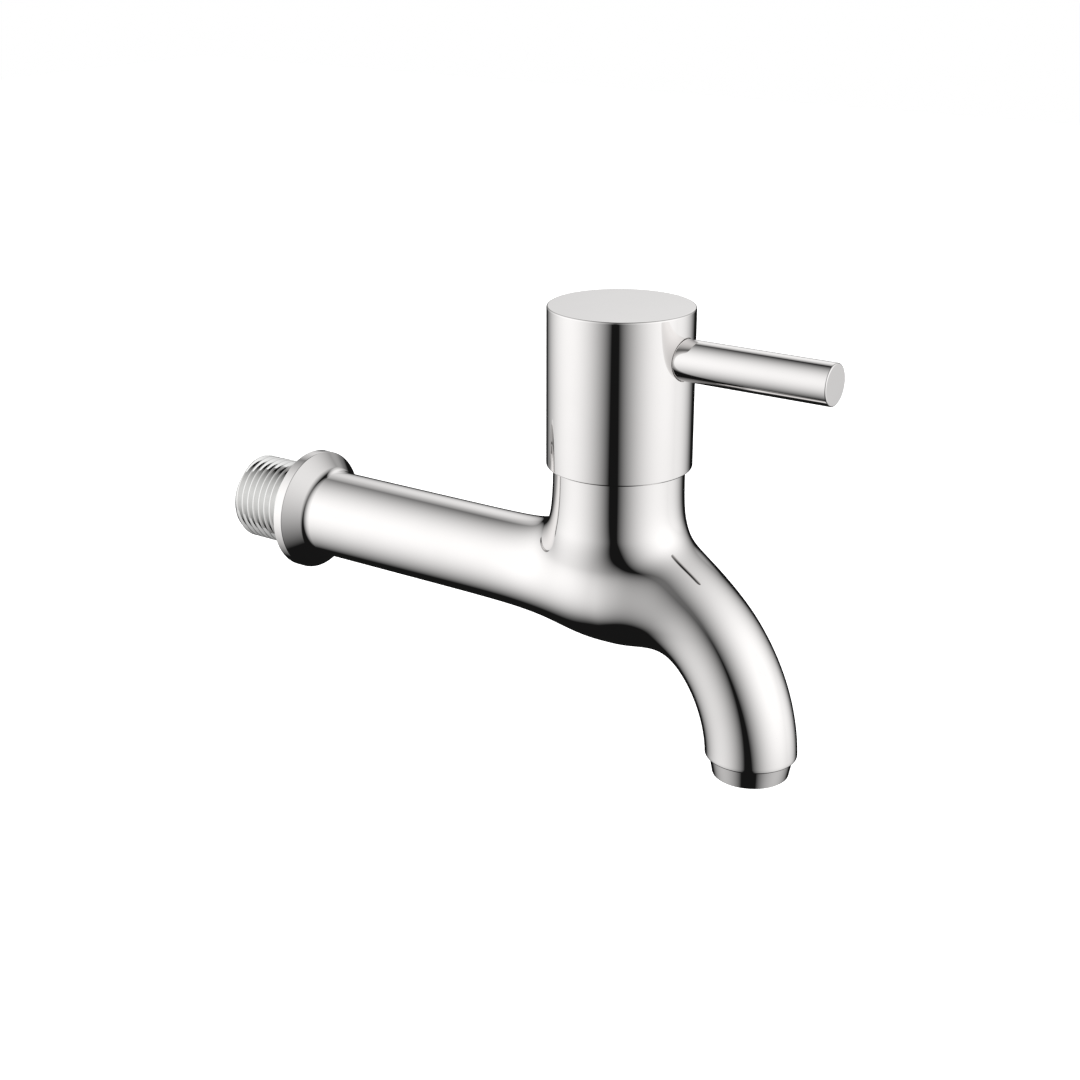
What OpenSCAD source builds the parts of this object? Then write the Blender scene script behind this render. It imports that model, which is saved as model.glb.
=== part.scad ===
// Wall-mounted bib tap with a quarter-turn ceramic cartridge and a pin lever.
// Origin: centre of the wall plane on the inlet's axis. +X runs from the wall to the spout, +Z is up.

/* [Inlet] */
// Outside diameter of the inlet thread, a half-inch parallel pipe thread as cut (20.67 to 20.955)
inlet_thread_d = 20.8; // [20:0.005:22]
// Pitch of the inlet thread
inlet_thread_pitch = 1.814; // [1.7:0.001:2.2]
// Depth of the inlet thread
inlet_thread_depth = 1.162; // [0.8:0.001:1.2]
// Length of thread behind the wall plane
inlet_thread_l = 17.5; // [12:0.5:30]
// Chamfer on the end of the inlet thread
inlet_chamfer = 0.7; // [0.3:0.1:1.5]
// Bore of the inlet and neck
inlet_bore_d = 12; // [9:0.5:13]

/* [Wall flange] */
// Diameter of the flange's rim
flange_d = 29.3; // [26:0.1:60]
// Thickness of the flange's rim
flange_rim_t = 2.45; // [1.5:0.05:5]
// Angle between the flange's cone and the neck's axis
flange_cone_a = 45; // [30:1:60]
// Radius of the hollow that runs the cone into the neck
flange_hollow_r = 2.9; // [1:0.1:5]

/* [Neck and spout] */
// Diameter of the neck
neck_d = 21.2; // [20.5:0.1:24]
// Distance from the wall to the valve's upright axis
valve_reach = 90; // [70:1:200]
// Diameter of the spout
spout_d = 20.3; // [19.6:0.1:24]
// Radius of the spout's bend, at the middle of the tube
bend_r = 40.4; // [36:0.1:55]
// Distance from the valve's axis back to the bend's centre
bend_back = 5; // [0:0.1:8]
// Depth of the bend's centre below the neck's axis
bend_drop = 34.1; // [31:0.1:38]
// Depth of the spout's end below the neck's axis
spout_drop = 32.3; // [30:0.1:36]
// Bore of the spout
spout_bore_d = 12; // [9:0.5:13]

/* [Valve chamber] */
// Diameter of the valve chamber
chamber_d = 28.8; // [27:0.1:32]
// Height of the chamber's rim above the neck's axis
chamber_rim_z = 31; // [28:0.5:36]
// Diameter of the valve chamber at its foot
chamber_foot_d = 30.6; // [29:0.1:32]
// Straight length of the chamber below the handle's cap
chamber_straight = 0.8; // [0.3:0.1:3]
// Height of the middle of the chamber's round bottom
belly_z = 1.5; // [0.5:0.1:2]
// Diameter of the flat under the chamber's round bottom
belly_flat_d = 1.8; // [1:0.1:4]
// Wall of the chamber round its cavity
chamber_wall = 2.2; // [1.5:0.1:3]
// Metal between the inlet's bore and the valve seat
seat_web = 4; // [3:0.1:6]
// Diameter of the port in the valve seat
seat_port_d = 9; // [7:0.1:10]
// Angle of the slot that leads from the cavity to the spout
outlet_slot_a = 80; // [50:1:90]

/* [Blends of the casting] */
// Diameter of the neck's swelling before the valve
swell_d = 26.3; // [25:0.1:27]
// Distance from the valve's axis back to the middle of the swelling
swell_back = 6.4; // [5:0.1:8]
// Radius of the long hollow from the neck into the swelling
swell_blend_r = 100; // [60:1:140]
// Diameter of the spout's root where it starts inside the chamber
root_d = 26.4; // [25.6:0.1:26.8]
// Distance from the valve's axis out to the start of the root
root_out = 6; // [5:0.1:6.2]
// Angle on the bend where the spout's root ends
root_a = 49; // [44:1:54]
// Metal over the corner between the neck and the chamber
back_fill = 3.8; // [2.5:0.1:4.5]
// Slope of that metal
back_fill_a = 57; // [50:1:62]
// Length of that metal below the corner
back_fill_l = 6; // [5:0.1:7]
// Metal over the corner between the spout and the chamber
front_fill = 2.3; // [1.5:0.1:3]
// Slope of that metal
front_fill_a = 45; // [40:1:50]
// Length of that metal below the corner
front_fill_l = 10.3; // [9:0.1:11]
// Radius of the metal over both corners
fill_r = 12; // [10:0.1:12.2]
// Length of the metal over both corners
fill_l = 14; // [12:0.1:16]

/* [Cartridge] */
// Thread diameter of the cartridge's housing
cartridge_thread_d = 20.8; // [20:0.05:22]
// Length of the housing's thread
cartridge_thread_l = 9.5; // [6:0.5:11]
// Diameter of the housing's barrel
barrel_d = 17.8; // [17:0.1:18.6]
// Wall of the housing's barrel
barrel_wall = 0.9; // [0.7:0.05:1.2]
// Diameter of the housing's flange
head_flange_d = 25.6; // [23:0.1:27]
// Thickness of the housing's flange
head_flange_t = 2; // [1.2:0.1:3]
// Width of the housing's hexagon across its flats
hex_af = 19; // [18:0.5:21]
// Height of the housing's hexagon
hex_h = 5.5; // [4:0.1:7]
// Diameter of the collar above the hexagon
head_collar_d = 16.6; // [15:0.1:18]
// Height of the collar above the hexagon
head_collar_h = 4; // [3:0.1:5]
// Thickness of the gasket on the chamber's rim
gasket_t = 1.2; // [0.8:0.1:2]
// Thickness of each ceramic disc
disc_t = 3.2; // [2.5:0.1:3.6]
// Inside radius of the ports in the discs
port_in_r = 1.6; // [1.2:0.1:2]
// Angle of each port in the discs
port_a = 76; // [50:1:80]
// Width of the windows in the housing's side
window_w = 8; // [5:0.1:10]
// Width of the keys on the lower disc
key_w = 3.4; // [2:0.1:4]
// Height of the seat seal
seal_h = 2.5; // [2:0.1:3.2]
// Radial thickness of the seat seal
seal_w = 2.4; // [2:0.1:3]
// Wall of the ring that supports the seat seal
support_wall = 0.6; // [0.4:0.05:1]
// Height of the housing's bottom edge above the seat
seat_gap = 0.8; // [0.4:0.1:1.4]

/* [Spindle] */
// Diameter of the spindle
spindle_d = 9.9; // [9.4:0.1:10.4]
// Height of the spindle's winged foot
foot_h = 3; // [2:0.1:3.6]
// Width of the spindle's wings at their tips
foot_w = 8; // [6:0.1:8.6]
// Width of the blade that turns the upper disc
blade_w = 3; // [2:0.1:4]
// Depth of the blade in the upper disc
blade_h = 1.4; // [0.8:0.1:2]
// Overlap of the stop ribs and the foot's wings
stop_overlap = 1.2; // [0.8:0.1:1.6]
// Thickness of the washer above the foot
glide_t = 0.7; // [0.4:0.1:1.2]
// Section diameter of the spindle's sealing rings
o_ring_t = 1.4; // [1:0.1:1.8]
// Height of the lower sealing ring above the housing's shoulder
o_ring_rise = 3; // [1.5:0.1:4]
// Distance between the sealing rings
o_ring_step = 4; // [2.6:0.1:6]
// Diameter over the spline's teeth
spline_d = 8; // [7.4:0.1:8.6]
// Depth of the spline's teeth
spline_depth = 0.45; // [0.3:0.05:0.6]
// Number of teeth on the spline
spline_teeth = 20; // [16:2:24]
// Thickness of the circlip
circlip_t = 0.9; // [0.6:0.1:1.2]
// Depth of the circlip's groove in the spindle
circlip_depth = 1; // [0.6:0.1:1.2]
// Angle of the circlip's opening
circlip_open_a = 70; // [40:1:100]
// Outside diameter of the circlip
circlip_d = 13.2; // [12:0.1:14]
// Quarter turn of the handle
turn_a = 90; // [80:1:92]

/* [Handle] */
// Height of the handle cap
cap_h = 35.4; // [33:0.1:42]
// Wall of the cap's skirt
cap_wall = 1.3; // [1:0.05:3]
// Thickness of the cap's top
cap_top_t = 3; // [2:0.1:4]
// Length of the cap's skirt below the chamber's rim
cap_overlap = 2.8; // [1.5:0.1:6]
// Chamfer on the cap's edges
cap_edge = 0.3; // [0.1:0.05:0.8]
// Diameter of the hub inside the cap
hub_d = 19; // [17:0.1:22]
// Outside diameter of the splined insert
insert_d = 13; // [11.5:0.1:14]
// Height of the splined insert above the lever's axis
insert_rise = 3.5; // [3:0.1:5]
// Depth of the lever's axis below the cap's top
lever_drop = 9.6; // [8:0.1:12]
// Diameter of the lever
lever_d = 9; // [6:0.1:11]
// Distance from the valve's axis to the lever's end
lever_reach = 50.4; // [40:0.1:90]
// Chamfer on the lever's end
lever_edge = 0.3; // [0.1:0.05:1]
// Depth of the seat of the lever in the cap's side
lever_seat = 2.5; // [1.5:0.1:4]
// Diameter of the lever's threaded spigot
spigot_d = 6; // [4:0.1:6.5]
// Diameter of the boss round the lever's spigot
boss_d = 13; // [12.5:0.1:15]
// Diameter of the grub screw
grub_d = 5; // [4:0.1:6]
// Length of the grub screw
grub_l = 5; // [4:0.1:5.2]
// Width of the grub screw's socket across its flats
grub_socket_af = 2.5; // [2:0.1:3]
// Depth of the grub screw's socket
grub_socket_l = 2.2; // [1.5:0.1:3]

/* [Aerator] */
// Thread diameter of the aerator's shell
aerator_thread_d = 16.5; // [15.5:0.1:17]
// Length of the aerator's thread
aerator_thread_l = 6; // [5:0.1:7]
// Diameter of the aerator at the spout's end
aerator_collar_d = 18.6; // [16.8:0.1:19]
// Diameter of the aerator at its mouth
aerator_mouth_d = 16.9; // [15.4:0.1:17]
// Length of the aerator below the spout
aerator_stick_out = 4.4; // [3:0.1:8]
// Wall of the aerator's shell
aerator_wall = 1.1; // [0.8:0.05:1.4]
// Height and width of the lip that holds the screens
aerator_lip = 0.8; // [0.5:0.05:1.2]
// Thickness of the aerator's gasket
aerator_gasket_t = 1; // [0.6:0.1:1.5]
// Thickness of each screen
screen_t = 0.4; // [0.3:0.05:0.6]
// Diameter of the holes in the screens
screen_hole_d = 1.2; // [0.6:0.05:1.3]
// Number of rings of holes in each screen
screen_rings = 3; // [2:1:3]
// Height of the mixing ring
mixer_h = 4.5; // [3:0.1:5.5]
// Wall of the mixing ring
mixer_wall = 1; // [0.6:0.1:1.6]
// Width of the spokes of the mixing ring
spoke_w = 1.2; // [0.8:0.1:2]
// Diameter of the mixing cone's tip
cone_tip_d = 3.6; // [2:0.1:5]
// Diameter of the mixing cone's base
cone_base_d = 7.2; // [5.5:0.1:9]
// Number of jets in the diffuser
jets = 12; // [6:1:16]
// Diameter of the circle of jets
jet_circle_d = 10; // [8.5:0.1:11.5]
// Diameter of each jet
jet_d = 1; // [0.6:0.05:1.4]

/* [Clearances] */
// Radial gap between pieces that are screwed or slipped together
slip = 0.05; // [0.02:0.01:0.1]
// Radial running clearance of the spindle
running = 0.05; // [0.02:0.01:0.1]
// Gap between moving and fixed pieces that never touch
free_gap = 0.3; // [0.2:0.05:0.5]
// Film of grease between the lapped discs, and under the circlip
film = 0.02; // [0.01:0.01:0.05]

/* [Hidden] */
$fn = 96;
// Half the thread angle of a parallel pipe thread
thread_flank_a = 27.5;
// Flat at the bottom of the thread
thread_root = 0.3;
// Plain land between the wall plane and the first groove
thread_land = 0.6;
// Angle of play at each stop, and at each side of the glide washer's notches
stop_play_a = 2;
// Room over a groove's own width
groove_play = 0.2;
// Length by which cuts pass the faces that they open
cut = 1;
// Number of steps along each curve of the neck's outline
blend_steps = 8;

inlet_r = inlet_thread_d / 2;
flange_r = flange_d / 2;
neck_r = neck_d / 2;
// The flange's cone is aimed at the neck's side here, and its hollow touches the neck a little further on
flange_aim_x = flange_rim_t + (flange_r - neck_r) / tan(flange_cone_a);
flange_end_x = flange_aim_x + flange_hollow_r * tan(flange_cone_a / 2);

bend_x = valve_reach - bend_back;
spout_x = bend_x + sqrt(pow(bend_r, 2) - pow(bend_drop - spout_drop, 2));
// Angles on the bend, from its level end up towards the valve
bend_root_a = 75;
bend_tail_a = -20;
chamber_r = chamber_d / 2;
cavity_r = chamber_r - chamber_wall;
seat_z = inlet_bore_d / 2 + seat_web;
chamber_foot_r = chamber_foot_d / 2;
belly_r = chamber_foot_r - belly_flat_d / 2;
spout_r = spout_d / 2;
outlet_slot_r = cavity_r - free_gap;
// The spout's bore starts under the middle of the outlet slot
outlet_a = acos((bend_back + (barrel_d / 2 + outlet_slot_r) / 2) / bend_r);

// The hollow touches the neck at its start, and the swelling's ball at its end
swell_r = swell_d / 2;
swell_x = valve_reach - swell_back;
swell_blend_l = sqrt(pow(swell_r + swell_blend_r, 2) - pow(neck_r + swell_blend_r, 2));
swell_start_x = swell_x - swell_blend_l;
swell_touch_x = swell_x - swell_blend_l * swell_r / (swell_r + swell_blend_r);
root_start = [valve_reach + root_out, 0, belly_z];
root_end = [bend_x + bend_r * cos(root_a), 0, bend_r * sin(root_a) - bend_drop];
back_corner = [valve_reach - chamber_r, 0, neck_r];
front_corner = [
  valve_reach + chamber_r, 0,
  sqrt(pow(bend_r + spout_r, 2) - pow(bend_back + chamber_r, 2)) - bend_drop
];

thread_r = cartridge_thread_d / 2;
barrel_r = barrel_d / 2;
barrel_in_r = barrel_r - barrel_wall;
housing_bottom_z = seat_z + seat_gap;
fixed_disc_z = seat_z + seal_h;
moving_disc_z = fixed_disc_z + disc_t + film;
foot_z = moving_disc_z + disc_t + film;
glide_z = foot_z + foot_h + film;
shoulder_z = glide_z + glide_t;
head_z = chamber_rim_z + gasket_t;
collar_z = head_z + head_flange_t + hex_h;
housing_top_z = collar_z + head_collar_h;
disc_r = barrel_in_r - slip;
moving_disc_r = barrel_in_r - free_gap;
seal_in_r = disc_r - seal_w;
port_out_r = seal_in_r - support_wall;

spindle_r = spindle_d / 2;
spindle_bore_r = spindle_r + running;
foot_r = barrel_in_r - 2 * free_gap;
foot_half_a = asin(foot_w / 2 / foot_r);
stop_r = foot_r - stop_overlap;
o_ring_r = spindle_bore_r - running / 2 - o_ring_t / 2;
o_ring_zs = [shoulder_z + o_ring_rise, shoulder_z + o_ring_rise + o_ring_step];
circlip_z = housing_top_z + film;
circlip_in_r = spindle_r - circlip_depth;
hub_z = circlip_z + circlip_t + free_gap;
spline_z = circlip_z + circlip_t + groove_play;

cap_bottom_z = chamber_rim_z - cap_overlap;
chamber_taper_z = cap_bottom_z - chamber_straight;
cap_top_z = cap_bottom_z + cap_h;
skirt_r = chamber_r + free_gap;
cap_r = skirt_r + cap_wall;
ceiling_z = cap_top_z - cap_top_t;
lever_z = cap_top_z - lever_drop;
insert_top_z = lever_z + insert_rise;
grub_x = spline_d / 2 + slip;
lever_seat_x = cap_r - lever_seat;
spigot_x = grub_x + grub_l + free_gap;

spout_end_z = -spout_drop;
aerator_r = aerator_thread_d / 2;
aerator_in_r = aerator_r - aerator_wall;
aerator_bottom_z = spout_end_z - aerator_stick_out;
aerator_top_z = spout_end_z + aerator_thread_l;
screens_z = aerator_bottom_z + aerator_lip;
mixer_z = screens_z + 2 * screen_t + film;
diffuser_z = mixer_z + mixer_h;
filter_z = aerator_top_z - screen_t;
insert_r = aerator_in_r - slip;
screen_pitch = (insert_r - aerator_lip) / (screen_rings + 0.5);

chrome = "#d9dbdd";
brass = "#c9a55a";
steel = "#b4b8bc";
rubber = "#222222";
ceramic = "#f1efe8";
plastic = "#e8e8e4";
fibre = "#a8734a";

// A cylinder along +X from x = from to x = to, at height z
module rod_x(from, to, r, z = 0, r_end = undef) {
  translate([from, 0, z])
    rotate([0, 90, 0])
      cylinder(h = to - from, r1 = r, r2 = is_undef(r_end) ? r : r_end);
}

// A flat ring on the upright axis through the origin
module ring(z, h, r_in, r_out) {
  translate([0, 0, z])
    rotate_extrude()
      translate([r_in, 0])
        square([r_out - r_in, h]);
}

// A piece of a flat ring, from angle a0 to angle a1
module ring_sector(z, h, r_in, r_out, a0, a1) {
  translate([0, 0, z])
    rotate([0, 0, a0])
      rotate_extrude(angle = a1 - a0)
        translate([r_in, 0])
          square([r_out - r_in, h]);
}

// A stretch of the spout's bend with a round section of radius r, between two angles
module bend(r, a0, a1) {
  translate([bend_x, 0, -bend_drop])
    rotate([90, 0, 0])
      rotate([0, 0, a0])
        rotate_extrude(angle = a1 - a0)
          translate([bend_r, 0])
            circle(r = r);
}

// A cone between two points
module cone_between(from, to, r_from, r_to) {
  way = to - from;
  translate(from)
    rotate([0, atan2(way.x, way.z), 0])
      cylinder(h = norm(way), r1 = r_from, r2 = r_to);
}

// Half the outline of the valve chamber: round bottom, slightly tapered sides and a straight rim
module chamber_outline() {
  bottom_z = belly_z - belly_r;
  translate([0, bottom_z])
    square([belly_flat_d / 2, belly_r]);
  intersection() {
    translate([belly_flat_d / 2, belly_z])
      circle(r = belly_r);
    translate([belly_flat_d / 2, bottom_z])
      square(belly_r);
  }
  polygon([
    [0, belly_z], [chamber_foot_r, belly_z], [chamber_r, chamber_taper_z],
    [chamber_r, chamber_rim_z], [0, chamber_rim_z]
  ]);
}

// Half the outline of the neck, from the wall flange to the swelling before the valve
module neck_outline() {
  flange_hollow = [
    for (i = [0 : blend_steps])
      let (a = flange_cone_a * (1 - i / blend_steps))
        [neck_r + flange_hollow_r * (1 - cos(a)), flange_end_x - flange_hollow_r * sin(a)]
  ];
  hollow_a = asin((swell_touch_x - swell_start_x) / swell_blend_r);
  ball_end_a = acos(swell_back / swell_r);
  swell_hollow = [
    for (i = [0 : blend_steps])
      let (a = hollow_a * i / blend_steps)
        [neck_r + swell_blend_r * (1 - cos(a)), swell_start_x + swell_blend_r * sin(a)]
  ];
  ball = [
    for (i = [1 : blend_steps])
      let (a = 90 + hollow_a + (ball_end_a - 90 - hollow_a) * i / blend_steps)
        [swell_r * sin(a), swell_x + swell_r * cos(a)]
  ];
  flange = [[0, 0], [flange_r, 0], [flange_r, flange_rim_t]];
  polygon(concat(flange, flange_hollow, swell_hollow, ball, [[0, valve_reach]]));
}

// The cast metal that softens a corner beside the chamber: side is 1 towards the neck, -1 towards the spout
module corner_fill(corner, side, fill, a, below) {
  translate(corner)
    rotate([0, side * (90 - a), 0])
      translate([side * (fill_r - fill), 0, -below])
        cylinder(h = fill_l, r = fill_r);
}

// The inlet's thread, drawn as parallel rings of the true pitch and depth, from inside the flange
module inlet_thread() {
  groove_w = 2 * inlet_thread_depth * tan(thread_flank_a) + thread_root;
  crest_w = inlet_thread_pitch - groove_w;
  straight_l = inlet_thread_l - inlet_chamfer;
  grooves = floor((straight_l - thread_land + crest_w) / inlet_thread_pitch);
  groove_points = [
    for (i = [0 : grooves - 1])
      let (start = thread_land + i * inlet_thread_pitch, middle = start + groove_w / 2)
        each [
          [inlet_r, start],
          [inlet_r - inlet_thread_depth, middle - thread_root / 2],
          [inlet_r - inlet_thread_depth, middle + thread_root / 2],
          [inlet_r, start + groove_w]
        ]
  ];
  end_points = [[inlet_r, straight_l], [inlet_r - inlet_chamfer, inlet_thread_l], [0, inlet_thread_l]];
  rotate([0, -90, 0])
    rotate_extrude()
      polygon(concat([[0, -cut], [inlet_r, -cut]], groove_points, end_points));
}

// The casting without its waterways
module body_skin() {
  inlet_thread();
  rotate([0, 90, 0])
    rotate_extrude()
      neck_outline();
  translate([valve_reach, 0, 0])
    rotate_extrude()
      chamber_outline();
  corner_fill(back_corner, 1, back_fill, back_fill_a, back_fill_l);
  corner_fill(front_corner, -1, front_fill, front_fill_a, front_fill_l);
  cone_between(root_start, root_end, root_d / 2, spout_r - 2 * slip);
  difference() {
    bend(spout_r, bend_tail_a, bend_root_a);
    translate([spout_x - spout_d, -spout_d, spout_end_z - bend_r])
      cube([2 * spout_d, 2 * spout_d, bend_r]);
  }
}

module body() {
  color(chrome)
    difference() {
      body_skin();
      rod_x(-inlet_thread_l - cut, valve_reach + seat_port_d / 2 - free_gap, inlet_bore_d / 2);
      translate([valve_reach, 0, 0]) {
        cylinder(h = seat_z + cut, d = seat_port_d);
        translate([0, 0, seat_z])
          cylinder(h = chamber_rim_z - cartridge_thread_l - seat_z, r = cavity_r);
        translate([0, 0, seat_z])
          cylinder(h = chamber_rim_z - seat_z + cut, r = thread_r + slip);
        ring_sector(0, seat_z + cut, barrel_r, outlet_slot_r, -outlet_slot_a / 2, outlet_slot_a / 2);
      }
      bend(spout_bore_d / 2, bend_tail_a, outlet_a);
      translate([spout_x, 0, spout_end_z - cut])
        cylinder(h = aerator_thread_l + aerator_gasket_t + cut, r = aerator_r + slip);
    }
}

// Two opposite stop ribs inside the barrel, which stop the wings of the foot a quarter turn apart
module stop_ribs(z, h, r_in, play_a) {
  from_a = foot_half_a + turn_a + stop_play_a - play_a;
  to_a = 180 - foot_half_a - stop_play_a + play_a;
  for (turn = [0, 180])
    ring_sector(z, h, r_in, barrel_in_r + barrel_wall / 2, turn + from_a, turn + to_a);
}

module cartridge_housing() {
  color(brass)
    translate([valve_reach, 0, 0]) {
      difference() {
        union() {
          ring(housing_bottom_z, head_z - housing_bottom_z, spindle_bore_r, barrel_r);
          ring(chamber_rim_z - cartridge_thread_l, head_z - chamber_rim_z + cartridge_thread_l,
            spindle_bore_r, thread_r);
          ring(head_z, head_flange_t, spindle_bore_r, head_flange_d / 2);
          translate([0, 0, head_z + head_flange_t])
            linear_extrude(hex_h)
              difference() {
                circle(d = hex_af / cos(30), $fn = 6);
                circle(r = spindle_bore_r);
              }
          ring(collar_z, head_collar_h, spindle_bore_r, head_collar_d / 2);
        }
        translate([0, 0, housing_bottom_z - cut])
          cylinder(h = shoulder_z - housing_bottom_z + cut, r = barrel_in_r);
        // Side windows that let the water out, on the spout's side and behind
        translate([-barrel_d, -window_w / 2, moving_disc_z])
          cube([2 * barrel_d, window_w, disc_t]);
        // Slots in the bottom edge that key the lower disc
        translate([-key_w / 2, -barrel_d, housing_bottom_z - cut])
          cube([key_w, 2 * barrel_d, fixed_disc_z + disc_t - housing_bottom_z + cut]);
      }
      stop_ribs(foot_z + free_gap, shoulder_z - foot_z - free_gap, stop_r, 0);
    }
}

module head_gasket() {
  color(fibre)
    translate([valve_reach, 0, 0])
      ring(chamber_rim_z, gasket_t, thread_r + slip, head_flange_d / 2);
}

module seat_seal() {
  color(rubber)
    translate([valve_reach, 0, 0])
      ring(seat_z, seal_h, seal_in_r, disc_r);
}

module seal_support_ring() {
  color(plastic)
    translate([valve_reach, 0, 0])
      ring(seat_z + free_gap, seal_h - free_gap, seal_in_r - support_wall, seal_in_r - slip);
}

// A pair of opposite ports through a disc
module ports(z, h, first_a) {
  for (turn = [0, 180])
    ring_sector(z, h, port_in_r, port_out_r, turn + first_a - port_a / 2, turn + first_a + port_a / 2);
}

module fixed_disc() {
  color(ceramic)
    translate([valve_reach, 0, 0])
      difference() {
        translate([0, 0, fixed_disc_z])
          linear_extrude(disc_t)
            union() {
              circle(r = disc_r);
              intersection() {
                circle(r = barrel_r);
                square([key_w - 2 * slip, barrel_d], center = true);
              }
            }
        ports(fixed_disc_z - cut, disc_t + 2 * cut, 0);
      }
}

module moving_disc() {
  color(ceramic)
    translate([valve_reach, 0, 0])
      difference() {
        translate([0, 0, moving_disc_z])
          cylinder(h = disc_t, r = moving_disc_r);
        ports(moving_disc_z - cut, disc_t + 2 * cut, 90);
        translate([-barrel_d / 2, -blade_w / 2 - slip, moving_disc_z + disc_t - blade_h - slip])
          cube([barrel_d, blade_w + 2 * slip, blade_h + cut]);
      }
}

// The toothed outline of the spline, grown by a clearance
module spline_outline(grow) {
  polygon([
    for (i = [0 : 2 * spline_teeth - 1])
      let (r = spline_d / 2 + grow - (i % 2) * spline_depth, a = i * 180 / spline_teeth)
        [r * cos(a), r * sin(a)]
  ]);
}

module spindle() {
  color(brass)
    translate([valve_reach, 0, 0]) {
      difference() {
        translate([0, 0, foot_z])
          cylinder(h = spline_z - foot_z, r = spindle_r);
        for (z = o_ring_zs)
          ring(z - o_ring_t / 2 - groove_play, o_ring_t + 2 * groove_play,
            o_ring_r - o_ring_t / 2 - film, spindle_d);
        ring(circlip_z - film, circlip_t + 2 * film, circlip_in_r - slip, spindle_d);
      }
      for (turn = [0, 180])
        ring_sector(foot_z + film, foot_h - film, spindle_r / 2, foot_r,
          turn - foot_half_a, turn + foot_half_a);
      translate([0, 0, foot_z - blade_h])
        linear_extrude(blade_h + foot_h / 2)
          intersection() {
            circle(r = foot_r - free_gap);
            square([barrel_d, blade_w], center = true);
          }
      translate([0, 0, spline_z - groove_play / 2])
        linear_extrude(insert_top_z - free_gap - spline_z + groove_play / 2)
          spline_outline(0);
    }
}

module glide_washer() {
  color(plastic)
    translate([valve_reach, 0, 0])
      difference() {
        ring(glide_z, glide_t, spindle_bore_r, foot_r);
        stop_ribs(glide_z - cut, glide_t + 2 * cut, stop_r - slip, stop_play_a);
      }
}

module spindle_o_rings() {
  color(rubber)
    for (z = o_ring_zs)
      translate([valve_reach, 0, z])
        rotate_extrude()
          translate([o_ring_r, 0])
            circle(d = o_ring_t);
}

module circlip() {
  half_a = circlip_open_a / 2;
  color(steel)
    translate([valve_reach, 0, 0])
      ring_sector(circlip_z, circlip_t, circlip_in_r, circlip_d / 2, half_a, 360 - half_a);
}

// Outline of the cap from its axis to its side, with small chamfers on its edges
module cap_outline() {
  polygon([
    [0, cap_bottom_z], [cap_r - cap_edge, cap_bottom_z], [cap_r, cap_bottom_z + cap_edge],
    [cap_r, cap_top_z - cap_edge], [cap_r - cap_edge, cap_top_z], [0, cap_top_z]
  ]);
}

module handle_cap() {
  color(chrome)
    translate([valve_reach, 0, 0])
      difference() {
        union() {
          difference() {
            rotate_extrude()
              cap_outline();
            translate([0, 0, cap_bottom_z - cut])
              cylinder(h = ceiling_z - cap_bottom_z + cut, r = skirt_r);
          }
          translate([0, 0, hub_z])
            cylinder(h = cap_top_z - cap_top_t / 2 - hub_z, d = hub_d);
          intersection() {
            rod_x(0, cap_r, boss_d / 2, lever_z);
            translate([0, 0, hub_z])
              cylinder(h = cap_top_z - cap_top_t / 2 - hub_z, r = cap_r - cap_wall / 2);
          }
        }
        translate([0, 0, hub_z - cut])
          cylinder(h = insert_top_z - hub_z + cut, d = insert_d);
        rod_x(0, spigot_x, grub_d / 2 + slip, lever_z);
        rod_x(spigot_x, cap_r, spigot_d / 2 + slip, lever_z);
        rod_x(lever_seat_x, cap_r + cut, lever_d / 2 + slip, lever_z);
      }
}

module spline_insert() {
  color(brass)
    translate([valve_reach, 0, 0])
      difference() {
        translate([0, 0, hub_z])
          linear_extrude(insert_top_z - hub_z)
            difference() {
              circle(d = insert_d - 2 * slip);
              spline_outline(slip);
            }
        rod_x(0, insert_d, grub_d / 2 + slip, lever_z);
      }
}

module lever_rod() {
  color(chrome)
    translate([valve_reach, 0, 0]) {
      rod_x(spigot_x, lever_seat_x + cut, spigot_d / 2, lever_z);
      rod_x(lever_seat_x, lever_reach - lever_edge, lever_d / 2, lever_z);
      rod_x(lever_reach - lever_edge, lever_reach, lever_d / 2, lever_z, lever_d / 2 - lever_edge);
    }
}

module grub_screw() {
  color(steel)
    translate([valve_reach, 0, 0])
      difference() {
        rod_x(grub_x, grub_x + grub_l, grub_d / 2, lever_z);
        translate([grub_x + grub_l - grub_socket_l, 0, lever_z])
          rotate([0, 90, 0])
            cylinder(h = grub_socket_l + cut, d = grub_socket_af / cos(30), $fn = 6);
      }
}

module aerator_shell() {
  color(chrome)
    translate([spout_x, 0, 0])
      difference() {
        union() {
          translate([0, 0, spout_end_z - aerator_stick_out / 2])
            cylinder(h = aerator_thread_l + aerator_stick_out / 2, r = aerator_r);
          translate([0, 0, aerator_bottom_z])
            cylinder(h = aerator_stick_out, d1 = aerator_mouth_d, d2 = aerator_collar_d);
        }
        translate([0, 0, screens_z])
          cylinder(h = aerator_top_z - screens_z + cut, r = aerator_in_r);
        translate([0, 0, aerator_bottom_z - cut])
          cylinder(h = aerator_lip + 2 * cut, r = aerator_in_r - aerator_lip);
      }
}

module aerator_gasket() {
  color(rubber)
    translate([spout_x, 0, 0])
      ring(aerator_top_z, aerator_gasket_t, spout_bore_d / 2, aerator_r);
}

// A round screen: one hole in the middle and rings of six, twelve and more holes about it
module screen(z) {
  translate([0, 0, z])
    linear_extrude(screen_t)
      difference() {
        circle(r = insert_r);
        circle(d = screen_hole_d);
        for (ring_no = [1 : screen_rings], hole = [0 : 6 * ring_no - 1])
          rotate(hole * 60 / ring_no)
            translate([ring_no * screen_pitch, 0])
              circle(d = screen_hole_d);
      }
}

module aerator_filter() {
  color(steel)
    translate([spout_x, 0, 0])
      screen(filter_z);
}

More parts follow.
